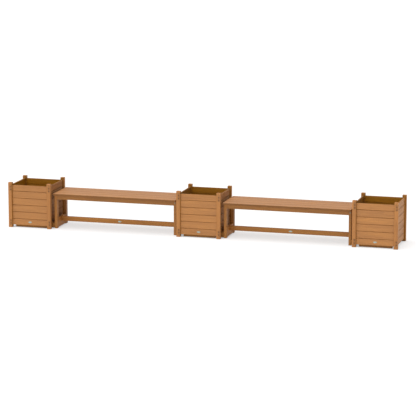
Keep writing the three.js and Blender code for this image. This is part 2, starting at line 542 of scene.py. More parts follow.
class NodeGraph:
    """Adds nodes to one shader's tree and feeds their sockets with numbers or with other nodes."""

    def __init__(self, tree: bpy.types.NodeTree) -> None:
        """Clears the tree and keeps it."""
        tree.nodes.clear()
        self.tree = tree

    def add(self, kind: str, feeds: Feeds | None = None, **settings: object) -> bpy.types.Node:
        """Adds a node.

        Args:
            kind: The node's type, without its ShaderNode prefix.
            feeds: What goes into its sockets, by their names or numbers.
            **settings: The node's own properties.

        Returns:
            The node.
        """
        node = self.tree.nodes.new(f"ShaderNode{kind}")
        for name, value in settings.items():
            setattr(node, name, value)
        for socket, value in (feeds or {}).items():
            if isinstance(value, bpy.types.NodeSocket):
                self.tree.links.new(value, node.inputs[socket])
            else:
                node.inputs[socket].default_value = value
        return node

    def read(self, mark: Mark) -> bpy.types.NodeSocket:
        """Reads a mark of the boards that is a vector."""
        return self.add("Attribute", attribute_name=mark.value).outputs["Vector"]

    def read_number(self, mark: Mark) -> bpy.types.NodeSocket:
        """Reads a mark of the boards that is a number."""
        return self.add("Attribute", attribute_name=mark.value).outputs["Fac"]

    def math(self, operation: str, *values: Feed) -> bpy.types.NodeSocket:
        """Adds a sum on numbers."""
        return self.add("Math", dict(enumerate(values)), operation=operation).outputs[0]

    def vector(self, operation: str, *values: Feed) -> bpy.types.NodeSocket:
        """Adds a sum on vectors."""
        return self.add("VectorMath", dict(enumerate(values)), operation=operation).outputs[0]

    def scaled(self, value: Feed, level: Feed) -> bpy.types.NodeSocket:
        """Multiplies a colour or a vector by a number."""
        return self.add("VectorMath", {"Vector": value, "Scale": level}, operation="SCALE").outputs[0]

    def split(self, value: Feed) -> tuple[bpy.types.NodeSocket, ...]:
        """Splits a vector into its three numbers."""
        return tuple(self.add("SeparateXYZ", {0: value}).outputs)

    def ranged(self, value: Feed, source: Range, target: tuple[Feed, Feed] = WHOLE,
               smooth: bool = False) -> bpy.types.NodeSocket:
        """Maps a number from one range to another, clamped.

        Args:
            value: The number.
            source: The range that it comes from.
            target: The range that it goes to.
            smooth: Whether the change starts and ends gently.

        Returns:
            The mapped number.
        """
        feeds = {0: value, 1: source[0], 2: source[1], 3: target[0], 4: target[1]}
        kind = "SMOOTHSTEP" if smooth else "LINEAR"
        return self.add("MapRange", feeds, interpolation_type=kind).outputs[0]

    def blend(self, share: Feed, first: Feed, second: Feed) -> bpy.types.NodeSocket:
        """Blends two colours by the share of the second one."""
        return self.add("Mix", {0: share, 6: first, 7: second}, data_type="RGBA").outputs[2]

    def margin(self, way: Way) -> bpy.types.NodeSocket:
        """Gives how far a point lies inside the nearer of the two faces that bound its board one way.

        Args:
            way: The axis of the board.

        Returns:
            The margin, in metres.
        """
        place = self.split(self.read(Mark.PLACE))[way]
        half = self.split(self.read(Mark.HALF))[way]
        return self.math("SUBTRACT", half, self.math("ABSOLUTE", place))

    def surface(self, feeds: Feeds, height: Feed, relief: float, depth: float) -> None:
        """Adds the shader of a surface with a fine relief, and the output of the material.

        Args:
            feeds: What goes into the shader's other sockets.
            height: The height of the relief.
            relief: How strongly it shows.
            depth: Its depth in metres.
        """
        bump = self.add("Bump", {"Strength": relief, "Distance": depth, "Height": height})
        shader = self.add("BsdfPrincipled", {**feeds, "Normal": bump.outputs[0]})
        self.add("OutputMaterial", {"Surface": shader.outputs[0]})


@dataclass(frozen=True)
class Streaks:
    """A noise drawn out along the piece.

    It has its waves per metre along and across, the number of finer noises on top, and its spread,
    which is the range of its values that counts as from nothing to full.
    """

    along: float
    across: float
    detail: float = 3.0
    spread: Range = WHOLE

    def noise(self, graph: NodeGraph, place: Feed) -> bpy.types.Node:
        """Adds the node of the noise, read at a place."""
        stretched = graph.vector("MULTIPLY", place, (self.along, self.across, self.across))
        return graph.add("TexNoise", {"Vector": stretched, "Scale": 1.0, "Detail": self.detail})

    def share(self, graph: NodeGraph, place: Feed, target: Range = WHOLE) -> bpy.types.NodeSocket:
        """Adds the noise, mapped from its spread to a target range."""
        return graph.ranged(self.noise(graph, place).outputs[0], self.spread, target)


@dataclass
class WoodSurface:
    """What goes into the shader of a wood, while its layers are laid over one another."""

    graph: NodeGraph
    colour: Feed
    rough: Feed
    shine: Feed

    def cover(self, share: Feed, amount: float, colour: Colour) -> None:
        """Covers the surface with a colour, by an amount of a share from 0 to 1."""
        opacity = self.graph.math("MULTIPLY", share, amount)
        self.colour = self.graph.blend(opacity, self.colour, (*colour, 1.0))

    def darken(self, share: Feed, shade: float) -> None:
        """Multiplies the colour by a shade, as far as a share from 0 to 1 says."""
        self.colour = self.graph.scaled(self.colour, self.graph.ranged(share, WHOLE, (1.0, shade)))

    def roughen(self, share: Feed, amount: float) -> None:
        """Adds an amount to the roughness, as far as a share from 0 to 1 says."""
        self.rough = self.graph.math("ADD", self.rough, self.graph.math("MULTIPLY", share, amount))


class WoodLayer(ABC):
    """Something laid over a wood: dullness, stains, and painted shade.

    Its reaches run from where it starts to show to where it shows in full.
    """

    @abstractmethod
    def lay(self, wood: WoodSurface) -> None:
        """Lays it over the surface.

        Args:
            wood: The surface, which it changes.
        """


@dataclass(frozen=True)
class Shelter(WoodLayer):
    """The duller surface of a wall beside a bench, which is found by the dark tone of its painted shade."""

    matt: float
    tones: Range = (0.0, -2.0)

    def lay(self, wood: WoodSurface) -> None:
        """Dulls a board by how far its tone lies below zero."""
        dulled = wood.graph.ranged(wood.graph.read_number(Mark.TONE), self.tones, (0.0, self.matt))
        wood.rough = wood.graph.math("ADD", wood.rough, dulled)


@dataclass(frozen=True)
class DirtyEdges(WoodLayer):
    """Painted shade along the two long edges of a board: on the seat's planks, and down in the joints of a
    wall.
    """

    shade: float
    matt: float = 0.30
    reach: Range = (3.0 * MILLIMETRE, 0.8 * MILLIMETRE)

    def lay(self, wood: WoodSurface) -> None:
        """Darkens the edges with painted shade, and dulls them.

        Args:
            wood: The surface.
        """
        edge = wood.graph.ranged(wood.graph.margin(Way.ACROSS), self.reach, smooth=True)
        # Painted shade: the colour is darkened along both long edges.
        wood.darken(edge, self.shade)
        wood.roughen(edge, self.matt)


@dataclass(frozen=True)
class PlugStain(WoodLayer):
    """Dark plugs with painted shade on the walls of their holes, and round each pair of them an upright stain
    that the wet has drawn out of the wood.
    """

    shade: float
    # Darkens all that is sunk into the holes: the plugs' own darker wood, and painted shade on the holes'
    # walls.
    plug_shade: float = 0.50
    starts: Range = (10.0 * MILLIMETRE, 24.0 * MILLIMETRE)
    stops: Range = (106.0 * MILLIMETRE, 88.0 * MILLIMETRE)
    reach: Range = (17.0 * MILLIMETRE, 9.0 * MILLIMETRE)
    sunk: Range = (0.2 * MILLIMETRE, 0.9 * MILLIMETRE)
    patches: Streaks = Streaks(18.0, 120.0, spread=(0.30, 0.60))
    patch_shares: Range = (0.6, 1.0)

    def lay(self, wood: WoodSurface) -> None:
        """Darkens the patch round each pair, and everything sunk into the holes: the plugs' darker wood, and
        the holes' walls as painted shade.

        Args:
            wood: The surface.
        """
        graph = wood.graph
        _, across, depth = graph.split(graph.read(Mark.PLACE))
        thickness = graph.split(graph.read(Mark.HALF))[Way.DEPTH]
        margin = graph.margin(Way.ALONG)
        starts = graph.ranged(margin, self.starts, smooth=True)
        stops = graph.ranged(margin, self.stops, smooth=True)
        aside = graph.math("ABSOLUTE", graph.math("SUBTRACT", across, graph.read_number(Mark.PLUG_LINE)))
        spread = graph.ranged(aside, self.reach, smooth=True)
        outer = graph.math("LESS_THAN", depth, 0.0)
        height = graph.math("MULTIPLY", starts, stops)
        pair = graph.math("MULTIPLY", height, graph.math("MULTIPLY", spread, outer))
        patches = self.patches.share(graph, graph.read(Mark.GRAIN), self.patch_shares)
        plugs = graph.ranged(graph.math("ADD", depth, thickness), self.sunk)
        wood.darken(graph.math("MULTIPLY", pair, patches), self.shade)
        # Painted shade down in the holes, over the plugs' darker wood.
        wood.darken(graph.math("MULTIPLY", pair, plugs), self.plug_shade)


@dataclass(frozen=True)
class InnerFaces(WoodLayer):
    """The faces that look into a planter: painted shade darkens them and takes most of the blue out, and no
    weather dulls them.
    """

    # Painted shade: what the colour of the inner faces is multiplied by.
    tint: Colour
    ways: tuple[Way, ...] = (Way.DEPTH,)
    smoother: float = 0.0
    shine: float = 0.30
    reach: Range = (2.5 * MILLIMETRE, 0.5 * MILLIMETRE)

    def lay(self, wood: WoodSurface) -> None:
        """Darkens the faces at the high end of the board's ways with painted shade, and changes their gloss.

        Args:
            wood: The surface.
        """
        graph = wood.graph
        place = graph.split(graph.read(Mark.PLACE))
        half = graph.split(graph.read(Mark.HALF))
        nearest, *others = [graph.math("SUBTRACT", half[way], place[way]) for way in self.ways]
        for margin in others:
            nearest = graph.math("MINIMUM", nearest, margin)
        inside = graph.ranged(nearest, self.reach)
        # Painted shade on the inner faces.
        wood.colour = graph.blend(inside, wood.colour, graph.vector("MULTIPLY", wood.colour, self.tint))
        wood.roughen(inside, -self.smoother)
        wood.shine = graph.ranged(inside, WHOLE, (wood.shine, self.shine))


@dataclass(frozen=True)
class Hardwood:
    """Planed and oiled tropical hardwood, from its figure and pores to its relief.

    Colours are linear, and sizes are in metres. The rise and the fall of a ring are in shares of its width.
    Wear reaches in from a long edge by worn_reach, from patch to patch, and fades in over a part of that.
    """

    light: Colour
    dark: Colour
    layers: tuple[WoodLayer, ...] = ()
    gloss: float = 0.60
    gloss_swing: Range = (-0.06, 0.07)
    shine: float = 0.80
    tone_reach: float = 0.07
    drift: Streaks = Streaks(1.6, 9.0, 2.0)
    drift_reach: float = 0.030
    cloud: Streaks = Streaks(2.2, 24.0, spread=(0.30, 0.72))
    cloud_share: float = 0.50
    fibre: Streaks = Streaks(16.0, 900.0)
    fibre_share: float = 0.30
    fibre_in_colour: Range = (0.28, 0.72)
    fibre_in_gloss: Range = (0.3, 0.7)
    ring_width: float = 5.5 * MILLIMETRE
    ring_share: float = 0.26
    ring_rise: Range = (0.25, 0.92)
    ring_fall: Range = (0.93, 1.0)
    pores: Streaks = Streaks(55.0, 1500.0, 1.0, (0.60, 0.70))
    pore_share: float = 0.30
    pore_level: float = 0.35
    end_shade: float = 0.60
    end_reach: Range = (0.6 * MILLIMETRE, 0.1 * MILLIMETRE)
    worn_share: float = 0.35
    worn_matt: float = 0.20
    worn_level: float = 1.12
    worn_grey: float = 0.02
    worn_patches: Streaks = Streaks(14.0, 70.0, spread=(0.35, 0.75))
    worn_reach: Range = (0.6 * MILLIMETRE, 3.2 * MILLIMETRE)
    worn_fade: Range = (1.0, 0.3)
    relief: float = 0.35
    relief_depth: float = 0.3 * MILLIMETRE
    fibre_height: float = 0.6
    ring_height: float = 0.25
    pore_depth: float = 0.5

    def dress(self, material: bpy.types.Material) -> None:
        """Builds the nodes of the finish.

        Args:
            material: The material to fill.
        """
        graph = NodeGraph(material.node_tree)
        grain = graph.read(Mark.GRAIN)
        drift = graph.vector("SUBTRACT", self.drift.noise(graph, grain).outputs["Color"], NOISE_MIDDLE)
        bent = graph.vector("MULTIPLY_ADD", drift, (0.0, self.drift_reach, self.drift_reach), grain)
        fibre = self.fibre.noise(graph, bent).outputs[0]
        pores = graph.ranged(self.pores.noise(graph, bent).outputs[0], self.pores.spread, smooth=True)
        rings = self._rings(graph, bent)
        worn = self._worn(graph, grain)
        cut_end = graph.ranged(graph.margin(Way.ALONG), self.end_reach)
        smoothest, roughest = (self.gloss + swing for swing in self.gloss_swing)
        rough = graph.ranged(fibre, self.fibre_in_gloss, (smoothest, roughest))
        wood = WoodSurface(graph, self._colour(graph, grain, fibre, rings), rough, self.shine)
        pore_colour = tuple(part * self.pore_level for part in self.dark)
        worn_colour = tuple(part * self.worn_level + self.worn_grey for part in self.light)
        wood.cover(pores, self.pore_share, pore_colour)
        wood.cover(cut_end, self.end_shade, self.dark)
        wood.cover(worn, self.worn_share, worn_colour)
        wood.roughen(graph.math("MAXIMUM", worn, cut_end), self.worn_matt)
        for layer in self.layers:
            layer.lay(wood)
        height = graph.math("MULTIPLY", rings, self.ring_height)
        height = graph.math("MULTIPLY_ADD", fibre, self.fibre_height, height)
        height = graph.math("SUBTRACT", height, graph.math("MULTIPLY", pores, self.pore_depth))
        feeds = {"Base Color": wood.colour, "Roughness": wood.rough, "Specular IOR Level": wood.shine}
        graph.surface(feeds, height, self.relief, self.relief_depth)

    def _rings(self, graph: NodeGraph, place: Feed) -> bpy.types.NodeSocket:
        """Draws the growth rings about the pith, with a soft dark edge to each.

        Args:
            graph: Where the nodes go.
            place: The place in the log.

        Returns:
            The darkness of the rings, from 0 to 1.
        """
        squares = [graph.math("MULTIPLY", part, part) for part in graph.split(place)[Way.ACROSS:]]
        radius = graph.math("SQRT", graph.math("ADD", *squares))
        saw = graph.math("FRACT", graph.math("DIVIDE", radius, self.ring_width))
        rise = graph.ranged(saw, self.ring_rise, smooth=True)
        fall = graph.ranged(saw, self.ring_fall, (1.0, 0.0))
        return graph.math("MULTIPLY", rise, fall)

    def _worn(self, graph: NodeGraph, grain: Feed) -> bpy.types.NodeSocket:
        """Finds where a long edge is rubbed: near the second nearest face of the board, in patches.

        Args:
            graph: Where the nodes go.
            grain: The place in the log.

        Returns:
            How far it is rubbed, from 0 to 1.
        """
        place = graph.vector("ABSOLUTE", graph.read(Mark.PLACE))
        margins = graph.vector("SUBTRACT", graph.read(Mark.HALF), place)
        first, second, third = graph.split(margins)
        lower = graph.math("MINIMUM", first, second)
        higher = graph.math("MAXIMUM", first, second)
        edge = graph.math("MAXIMUM", lower, graph.math("MINIMUM", higher, third))
        reach = self.worn_patches.share(graph, grain, self.worn_reach)
        return graph.ranged(graph.math("DIVIDE", edge, reach), self.worn_fade, smooth=True)

    def _colour(self, graph: NodeGraph, grain: Feed, fibre: Feed, rings: Feed) -> bpy.types.NodeSocket:
        """Mixes the colour of the wood before pores and wear.

        Args:
            graph: Where the nodes go.
            grain: The place in the log.
            fibre: The fine streaks, 0 to 1.
            rings: The growth rings, 0 to 1.

        Returns:
            The colour.
        """
        streaks = graph.ranged(fibre, self.fibre_in_colour)
        figure = graph.math("MULTIPLY", rings, self.ring_share)
        figure = graph.math("MULTIPLY_ADD", self.cloud.share(graph, grain), self.cloud_share, figure)
        figure = graph.math("MULTIPLY_ADD", streaks, self.fibre_share, figure)
        colour = graph.blend(figure, (*self.light, 1.0), (*self.dark, 1.0))
        tone = graph.read_number(Mark.TONE)
        level = graph.math("MULTIPLY_ADD", tone, self.tone_reach, 1.0 - self.tone_reach / 2)
        return graph.scaled(colour, level)


@dataclass(frozen=True)
class BrushedMetal:
    """Plain metal with fine brush marks along X. The colour is linear."""

    colour: Colour
    gloss: float
    gloss_swing: Range = (-0.08, 0.10)
    brush: Streaks = Streaks(90.0, 2600.0, spread=(0.3, 0.7))
    tarnish: Streaks = Streaks(160.0, 160.0, 2.0, (0.45, 0.75))
    tarnish_level: float = 0.72
    relief: float = 0.15
    relief_depth: float = 0.1 * MILLIMETRE

    def dress(self, material: bpy.types.Material) -> None:
        """Builds the nodes of the finish.

        Args:
            material: The material to fill.
        """
        graph = NodeGraph(material.node_tree)
        place = graph.add("TexCoord").outputs["Object"]
        brush = self.brush.noise(graph, place).outputs[0]
        dull = tuple(part * self.tarnish_level for part in self.colour)
        colour = graph.blend(self.tarnish.share(graph, place), (*self.colour, 1.0), (*dull, 1.0))
        smoothest, roughest = (self.gloss + swing for swing in self.gloss_swing)
        rough = graph.ranged(brush, self.brush.spread, (smoothest, roughest))
        feeds = {"Base Color": colour, "Metallic": 1.0, "Roughness": rough}
        graph.surface(feeds, brush, self.relief, self.relief_depth)


class Finishes:
    """Keeps one material for each slot of the record."""

    RECIPES: dict[Slot, Hardwood | BrushedMetal] = {
        Slot.POST: Hardwood(
            (0.538, 0.219, 0.045), (0.329, 0.121, 0.021), shine=0.60, end_shade=0.90,
            # Painted shade darkens the inner faces of the posts.
            layers=(PlugStain(0.74), InnerFaces((0.71, 0.73, 0.32), (Way.ACROSS, Way.DEPTH))),
        ),
        Slot.WALL: Hardwood(
            (0.530, 0.215, 0.036), (0.325, 0.119, 0.016), tone_reach=0.10,
            # Painted shade darkens the walls' long edges and inner faces.
            layers=(Shelter(0.30), DirtyEdges(0.70), InnerFaces((0.82, 0.87, 0.36), smoother=0.30)),
        ),
        Slot.FLOOR: Hardwood((0.430, 0.184, 0.026), (0.270, 0.105, 0.012), gloss=0.68, shine=0.5),
        # Painted shade darkens the long edges of the seat's planks.
        Slot.SEAT: Hardwood((0.435, 0.174, 0.029), (0.270, 0.098, 0.013), layers=(DirtyEdges(0.58),)),
        Slot.FRAME: Hardwood((0.437, 0.179, 0.030), (0.267, 0.101, 0.013), shine=0.5, tone_reach=0.24),
        Slot.FASTENER: BrushedMetal((0.34, 0.27, 0.18), gloss=0.50),
        Slot.PLATE: BrushedMetal((0.385, 0.420, 0.360), gloss=0.42),
    }

    def __init__(self) -> None:
        """Starts with no material made."""
        self.made: dict[Slot, bpy.types.Material] = {}

    def material(self, slot: Slot) -> bpy.types.Material:
        """Gives a slot's material, made once.

        Args:
            slot: The record's slot.

        Returns:
            The material.
        """
        if slot not in self.made:
            material = bpy.data.materials.new(slot.value)
            material.use_nodes = True
            self.RECIPES[slot].dress(material)
            self.made[slot] = material
        return self.made[slot]

    def hand_over(self, piece: bpy.types.Object, slot: Slot, nodes: Sequence[str] = ()) -> None:
        """Dresses a finished piece and ties it to the frame.

        Args:
            piece: The object.
            slot: The slot that its finish comes from.
            nodes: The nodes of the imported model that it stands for.
        """
        piece.data.materials.append(self.material(slot))
        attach(piece, "root")
        if nodes:
            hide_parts(*nodes)
        LOG.info("%s: %d faces, %s", piece.name, len(piece.data.polygons), slot.value)


@dataclass(frozen=True)
class Screw:
    """A countersunk screw head with a six-lobed recess."""

    radius: float = 5.5 * MILLIMETRE
    rise: float = 1.2 * MILLIMETRE
    rim: float = 0.3 * MILLIMETRE
    recess: float = 2.3 * MILLIMETRE
    recess_depth: float = 0.8 * MILLIMETRE
    lobe: float = 0.40 * MILLIMETRE

    def put(self, pieces: TurnedPiece, centre: Vector, outward: Vector) -> None:
        """Adds the head to a piece, its foot at a centre."""
        pieces.add(centre, outward, (
            (self.radius, 0.0, 0.0),
            (self.radius, self.rise - self.rim, 0.0),
            (self.radius - self.rim, self.rise, 0.0),
            (self.recess + self.rim, self.rise, self.lobe),
            (self.recess, self.rise - self.rim, self.lobe),
            (self.recess, self.rise - self.recess_depth, self.lobe),
        ))


@dataclass(frozen=True)
class DomeBolt:
    """A domed bolt head on a washer, with a six-lobed recess."""

    washer_radius: float = 9.0 * MILLIMETRE
    washer_rise: float = 1.4 * MILLIMETRE
    radius: float = 6.8 * MILLIMETRE
    rise: float = 4.2 * MILLIMETRE
    rim: float = 0.3 * MILLIMETRE
    recess: float = 2.4 * MILLIMETRE
    lobe: float = 0.4 * MILLIMETRE
    dome_angle: float = 68.0
    steps: int = 5

    def put(self, pieces: TurnedPiece, centre: Vector, outward: Vector) -> None:
        """Adds the washer and the head to a piece.

        Args:
            pieces: The piece.
            centre: The middle of the washer's foot.
            outward: The way that the head faces.
        """
        rim = self.rim
        top = self.washer_rise + self.rise
        turns = [step / self.steps * math.radians(self.dome_angle) for step in range(self.steps + 1)]
        dome = [
            (self.radius * math.cos(turn), self.washer_rise + self.rise * math.sin(turn), 0.0)
            for turn in turns
        ]
        pieces.add(centre, outward, (
            (self.washer_radius, 0.0, 0.0),
            (self.washer_radius, self.washer_rise - rim, 0.0),
            (self.washer_radius - rim, self.washer_rise, 0.0),
            *dome,
            (self.recess + rim, top - rim, self.lobe),
            (self.recess, top - 2 * rim, self.lobe),
            (self.recess, self.washer_rise + rim, self.lobe),
        ))


@dataclass(frozen=True)
class OvalPlate:
    """A blank oval plate with a raised border, held by two domed pins."""

    width: float = 42.0 * MILLIMETRE
    height: float = 19.0 * MILLIMETRE
    rise: float = 1.4 * MILLIMETRE
    soft: float = 0.25 * MILLIMETRE
    border: float = 0.9 * MILLIMETRE
    sides: int = 48
    pin_radius: float = 1.1 * MILLIMETRE
    pin_shares: tuple[Range, ...] = ((0.7, 1.0), (0.2, 1.5))
    pin_aside: float = 0.78
    pin_sides: int = 12

    def put(self, pieces: TurnedPiece, centre: Vector, outward: Vector) -> None:
        """Adds the plate and its pins to a piece.

        Args:
            pieces: The piece.
            centre: The middle of the plate's foot.
            outward: The way that it faces.
        """
        half = self.height / 2
        field = self.rise - 2 * self.soft
        pieces.add(centre, outward, (
            (half, 0.0, 0.0),
            (half, self.rise - self.soft, 0.0),
            (half - self.soft, self.rise, 0.0),
            (half - self.border, self.rise, 0.0),
            (half - self.border - self.soft, field, 0.0),
            (half / 2, field, 0.0),
        ), (self.width / self.height, 1.0), self.sides)
        dome = [(self.pin_radius * wide, self.rise + high * self.soft, 0.0) for wide, high in self.pin_shares]
        pin = ((self.pin_radius, 0.0, 0.0), (self.pin_radius, self.rise, 0.0), *dome)
        for side in (-1, 1):
            spot = centre + UPWARD.cross(outward) * side * self.width / 2 * self.pin_aside
            pieces.add(spot, outward, pin, sides=self.pin_sides)


@dataclass(frozen=True)
class Unit:
    """One planter or bench. The names of its nodes and pieces all start with its own name."""

    name: str
    finishes: Finishes

    def box(self, part: str) -> Box:
        """The space of one of its nodes."""
        return Box.of(f"{self.name}_{part}")

    def place_timber(self, timber: TimberPiece, part: str, slot: Slot) -> None:
        """Makes the object of some boards and lets it stand for a node.

        Args:
            timber: The boards.
            part: The node's name after the unit's.
            slot: The slot that their finish comes from.
        """
        node = f"{self.name}_{part}"
        piece = timber.made(f"{node}_wood")
        timber.mark(piece)
        self.finishes.hand_over(piece, slot, [node])

    def place_metal(self, metal: TurnedPiece, part: str, slot: Slot) -> None:
        """Makes the object of some metal pieces, which stands for no node."""
        self.finishes.hand_over(metal.made(f"{self.name}_{part}"), slot)

    def place_plate(self, spot: Vector) -> None:
        """Fixes the blank oval plate to a front face.

        Args:
            spot: The middle of the plate's foot.
        """
        plate = TurnedPiece()
        OvalPlate().put(plate, spot, Side.FRONT.outward)
        self.place_metal(plate, "plate", Slot.PLATE)


@dataclass(frozen=True)
class Planter(Unit):
    """One planter: four corner posts with plugged screw holes, four walls of boards, a floor and a plate.

    The walls on its bench sides are drawn in a darker tone: painted shade for the light that the bench beside
    them keeps off.
    """

    bench_sides: tuple[Side, ...] = ()
    # Painted shade: how much darker the tone of the walls beside a bench is.
    less_bleached: float = -2.2
    post_ease: float = 2.2 * MILLIMETRE
    end_board: float = 72.0 * MILLIMETRE
    cover: float = 81.5 * MILLIMETRE
    cover_count: int = 4
    outer_vee: float = 3.5 * MILLIMETRE
    inner_vee: float = 1.0 * MILLIMETRE
    board_gap: float = 1.8 * MILLIMETRE
    tongue_width: float = 5.0 * MILLIMETRE
    tongue_length: float = 6.0 * MILLIMETRE
    tongue_play: float = 0.4 * MILLIMETRE
    crisp: float = 0.5 * MILLIMETRE
    wall_ease: float = 1.8 * MILLIMETRE
    wall_steps: int = 2
    slat_count: int = 6
    slat_gap: float = 8.0 * MILLIMETRE
    slat_thickness: float = 15.0 * MILLIMETRE
    screw_sunk: float = 0.3 * MILLIMETRE
    bearer_length: float = 380.0 * MILLIMETRE
    bearer_depth: float = 30.0 * MILLIMETRE
    bearer_set_back: float = 22.0 * MILLIMETRE
    floor_ease: float = 1.2 * MILLIMETRE
    plug_heights: tuple[float, ...] = (0.049, 0.083, 0.447, 0.481)
    hole_radius: float = 8.0 * MILLIMETRE
    plug_mouth: float = 0.3 * MILLIMETRE
    plug_play: float = 0.6 * MILLIMETRE
    plug_sunk: float = 1.2 * MILLIMETRE
    plug_groove: float = 2.0 * MILLIMETRE
    plug_aside: float = 7.0 * MILLIMETRE
    plate_height: float = 66.0 * MILLIMETRE

    def build(self) -> None:
        """Builds and dresses the whole planter."""
        for face in (Side.FRONT, Side.REAR):
            for end in (Side.LEFT, Side.RIGHT):
                self.build_post(face, end)
        for side in Side:
            self.build_wall(side)
        self.build_floor()
        wall = self.box("front_boards")
        self.place_plate(Vector((wall.centre.x, wall.low.y, self.plate_height)))

    def build_post(self, face: Side, end: Side) -> None:
        """Builds one post, with two pairs of plugged screw holes.

        Args:
            face: The side that the plugs show on.
            end: The post's other outer side.
        """
        node = f"{self.name}_post_{face.label}_{end.label}"
        box = Box.of(node)
        rightward = UPWARD.cross(face.outward)
        board = Board.filling(box, -end.outward, -face.outward, node)
        board = replace(board, plug_line=board.across.dot(rightward) * self.plug_aside)
        post = TimberPiece()
        post.add_bar(board, self.post_ease)
        piece = post.made(f"{node}_wood")
        line = box.centre + face.outward * box.size.x / 2 + rightward * self.plug_aside
        self._plug(piece, [Vector((line.x, line.y, height)) for height in self.plug_heights], face.outward)
        post.mark(piece)
        self.finishes.hand_over(piece, Slot.POST, [node])

    def _plug(self, piece: bpy.types.Object, spots: Sequence[Vector], outward: Vector) -> None:
        """Cuts round holes into a post and leaves in each a plug that stands back from the face.

        Args:
            piece: The post's object.
            spots: The middles of the holes on the post's face.
            outward: The way that the face looks.
        """
        holes = TurnedPiece()
        mouth = self.plug_mouth
        depth = self.plug_sunk + self.plug_groove
        plug = self.hole_radius - self.plug_play
        for spot in spots:
            holes.add(spot - outward * depth, outward, (
                (plug - mouth, self.plug_groove, 0.0),
                (plug, self.plug_groove - mouth, 0.0),
                (plug, 0.0, 0.0),
                (self.hole_radius, 0.0, 0.0),
                (self.hole_radius, depth - mouth, 0.0),
                (self.hole_radius + 2 * mouth, depth + mouth, 0.0),
            ))
        cutter = holes.made("hole_cutter")
        step = piece.modifiers.new("holes", "BOOLEAN")
        step.object = cutter
        step.operation = "DIFFERENCE"
        step.solver = "EXACT"
        shape = piece.evaluated_get(bpy.context.evaluated_depsgraph_get())
        drilled = bpy.data.meshes.new_from_object(shape)
        piece.modifiers.clear()
        whole = piece.data
        piece.data = drilled
        bpy.data.meshes.remove(whole)
        bpy.data.objects.remove(cutter)

    def build_wall(self, side: Side) -> None:
        """Builds one wall of six boards, tongued and grooved, with a V along each joint.

        Args:
            side: The side of the planter.
        """
        part = f"{side.label}_boards"
        box = self.box(part)
        low = box.low.z
        joints = [low + self.end_board + index * self.cover for index in range(self.cover_count + 1)]
        edges = [low, *joints, box.high.z]
        # The walls beside a bench get a darker tone, as painted shade.
        paler = self.less_bleached if side in self.bench_sides else 0.0
        wall = TimberPiece()
        last = len(joints)
        for index, (low, high) in enumerate(zip(edges, edges[1:])):
            first = low if index == 0 else low + self.board_gap / 2
            final = high if index == last else high - self.board_gap / 2
            space = box.cut(Axis.Z, first, final)
            board = Board.filling(space, UPWARD, -side.outward, f"{self.name}_{part}_{index}", paler)
            wall.add(board, self.board_section(board, index > 0, index < last), 0.0)
        self.place_timber(wall, part, Slot.WALL)

    def board_section(self, board: Board, joint_below: bool, joint_above: bool) -> Outline:
        """Draws the section of one wall board, its outer face at low depth.

        Args:
            board: The board.
            joint_below: Whether another board joins it below.
            joint_above: Whether another board joins it above.

        Returns:
            The section.
        """
        top = board.half.y
        face = board.half.z
        vee = self.outer_vee
        notch = self.inner_vee
        crisp = self.crisp
        keen = crisp / 2
        ease = self.wall_ease
        below = [(-top, -face, ease)]
        above = [(top, -face, ease), (top, face, ease)]
        behind = [(-top, face, ease)]
        if joint_above:
            half = self.tongue_width / 2
            tip = top + self.tongue_length
            above = [
                (top - vee, -face, crisp), (top, -face + vee, crisp), (top, -half, keen), (tip, -half, crisp),
                (tip, half, crisp), (top, half, keen), (top, face - notch, keen), (top - notch, face, keen),
            ]
        if joint_below:
            half = self.tongue_width / 2 + self.tongue_play
            root = self.tongue_length + self.board_gap + self.tongue_play - top
            below = [(-top, -face + vee, crisp), (-top + vee, -face, crisp)]
            behind = [
                (-top + notch, face, keen), (-top, face - notch, keen), (-top, half, keen),
                (root, half, keen), (root, -half, keen), (-top, -half, keen),
            ]
        return Outline(tuple(Corner(*spot) for spot in below + above + behind), self.wall_steps)

    def build_floor(self) -> None:
        """Builds the floor: two bearers along the planter, slats across them and the slats' screws."""
        box = self.box("floor")
        node = f"{self.name}_floor"
        floor = TimberPiece()
        screws = TurnedPiece()
        slat_low = box.high.z - self.slat_thickness
        bearer = box.cut(Axis.Z, box.low.z, slat_low)
        bearer = bearer.cut(
            Axis.X, box.centre.x - self.bearer_length / 2, box.centre.x + self.bearer_length / 2
        )
        reach = box.size.y / 2 - self.bearer_set_back - self.bearer_depth / 2
        lines = [box.centre.y - reach, box.centre.y + reach]
        for side, line in zip((-1, 1), lines):
            space = bearer.cut(Axis.Y, line - self.bearer_depth / 2, line + self.bearer_depth / 2)
            floor.add_bar(Board.filling(space, -TO_REAR, UPWARD, f"{node}_bearer_{side}"), self.floor_ease)
        width = (box.size.x - (self.slat_count - 1) * self.slat_gap) / self.slat_count
        for index in range(self.slat_count):
            low = box.low.x + index * (width + self.slat_gap)
            space = box.cut(Axis.Z, slat_low, box.high.z).cut(Axis.X, low, low + width)
            floor.add_bar(Board.filling(space, ALONG_ROW, UPWARD, f"{node}_slat_{index}"), self.floor_ease)
            if 0 < index < self.slat_count - 1:
                for line in lines:
                    spot = Vector((low + width / 2, line, box.high.z - self.screw_sunk))
                    Screw().put(screws, spot, UPWARD)
        self.place_timber(floor, "floor", Slot.FLOOR)
        self.place_metal(screws, "floor_screws", Slot.FASTENER)


